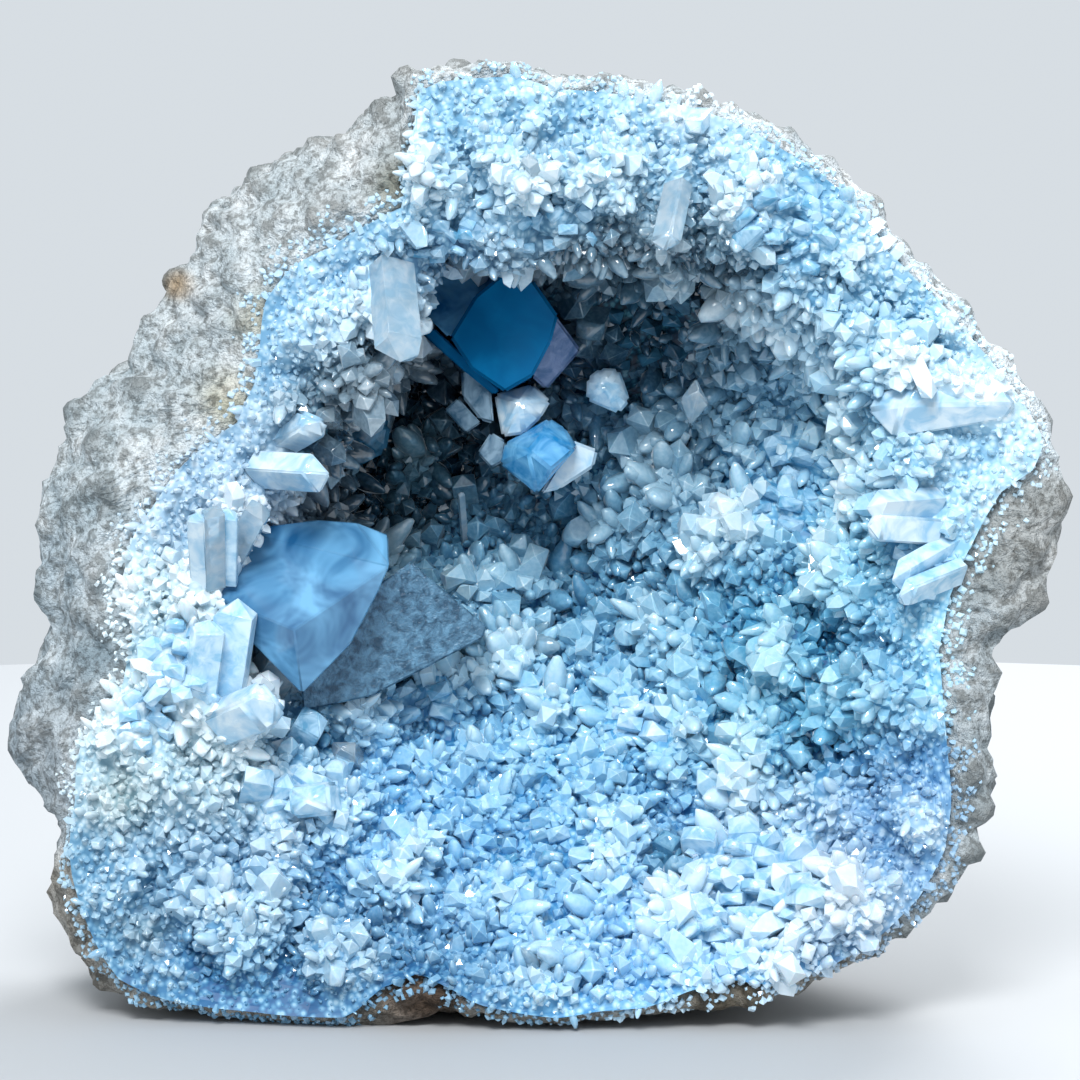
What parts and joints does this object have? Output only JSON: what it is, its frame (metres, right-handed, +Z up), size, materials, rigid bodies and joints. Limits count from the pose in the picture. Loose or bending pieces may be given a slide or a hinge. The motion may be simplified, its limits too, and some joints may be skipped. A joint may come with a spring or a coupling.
{
  "type": "celestite geode",
  "caption": "Open celestite geode: a bowl of pale limestone rock lined with a crust of blue crystals, resting on a flat spot with its hollow facing front.",
  "frame": {"origin": "middle of the bounding box in plan, on the plane that the flat spot rests on", "axes": "+X to the viewer's right across the open face, +Y from the open face to the back, +Z up"},
  "size_m": [0.1764, 0.1004, 0.1595],
  "materials": {
    "rock": "rough, chalky and pitted",
    "celestite": "glassy, clear to milky"
  },
  "bodies": {
    "root": {"rock_shell": "rock", "crystal_crust": "celestite"}
  },
  "joints": []
}
